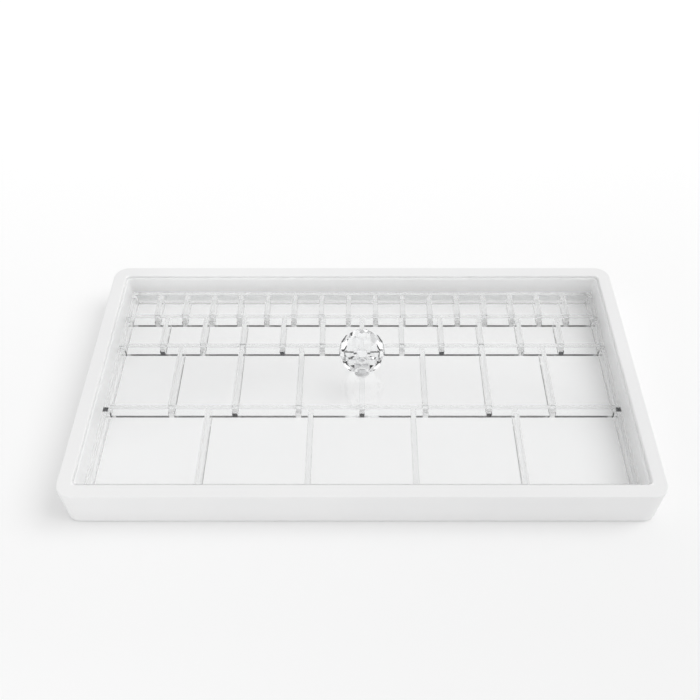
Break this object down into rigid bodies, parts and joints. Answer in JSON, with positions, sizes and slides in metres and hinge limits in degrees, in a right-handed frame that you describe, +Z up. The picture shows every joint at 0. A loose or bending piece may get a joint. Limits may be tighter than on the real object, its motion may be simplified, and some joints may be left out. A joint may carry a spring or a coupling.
{
  "type": "watch parts storage case",
  "caption": "Shallow white rectangular tray with a lift-out frame of clear dividers in graded compartments, closed by a clear drop-in lid with a faceted crystal knob.",
  "frame": {"origin": "on the surface it stands on, under the middle of the tray", "axes": "+Z up, front (row of the largest compartments) towards -Y, +X along the long side to the right seen from the front"},
  "size_m": [0.326, 0.18, 0.0536],
  "materials": {
    "tray_plastic": "white, satin gloss",
    "divider_acrylic": "clear, polished edges",
    "lid_acrylic": "clear, polished",
    "crystal": "clear, cut and polished",
    "plated_metal": "polished"
  },
  "bodies": {
    "tray": {"tray": "tray_plastic"},
    "divider_frame": {"frame_front_plate": "divider_acrylic", "frame_back_plate": "divider_acrylic", "frame_left_plate": "divider_acrylic", "frame_right_plate": "divider_acrylic", "long_divider_1": "divider_acrylic", "long_divider_2": "divider_acrylic", "long_divider_3": "divider_acrylic", "row1_divider_1": "divider_acrylic", "row1_divider_2": "divider_acrylic", "row1_divider_3": "divider_acrylic", "row1_divider_4": "divider_acrylic", "row2_divider_1": "divider_acrylic", "row2_divider_2": "divider_acrylic", "row2_divider_3": "divider_acrylic", "row2_divider_4": "divider_acrylic", "row2_divider_5": "divider_acrylic", "row2_divider_6": "divider_acrylic", "row2_divider_7": "divider_acrylic", "row3_divider_1": "divider_acrylic", "row3_divider_2": "divider_acrylic", "row3_divider_3": "divider_acrylic", "row3_divider_4": "divider_acrylic", "row3_divider_5": "divider_acrylic", "row3_divider_6": "divider_acrylic", "row3_divider_7": "divider_acrylic", "row3_divider_8": "divider_acrylic", "row3_divider_9": "divider_acrylic", "row3_divider_10": "divider_acrylic", "row3_divider_11": "divider_acrylic", "row4_divider_1": "divider_acrylic", "row4_divider_2": "divider_acrylic", "row4_divider_3": "divider_acrylic", "row4_divider_4": "divider_acrylic", "row4_divider_5": "divider_acrylic", "row4_divider_6": "divider_acrylic", "row4_divider_7": "divider_acrylic", "row4_divider_8": "divider_acrylic", "row4_divider_9": "divider_acrylic", "row4_divider_10": "divider_acrylic", "row4_divider_11": "divider_acrylic", "row4_divider_12": "divider_acrylic", "row4_divider_13": "divider_acrylic", "row4_divider_14": "divider_acrylic", "row4_divider_15": "divider_acrylic", "row4_divider_16": "divider_acrylic"},
    "lid": {"lid_plate": "lid_acrylic", "knob_crystal": "crystal", "knob_collar": "plated_metal", "knob_screw": "plated_metal", "screw_washer": "plated_metal"}
  },
  "joints": [
    {"name": "frame_lift", "type": "slide", "parent": "tray", "child": "divider_frame", "axis": [0, 0, 1], "range_m": [0, 0.04]},
    {"name": "lid_lift", "type": "slide", "parent": "divider_frame", "child": "lid", "axis": [0, 0, 1], "range_m": [0, 0.06]}
  ]
}
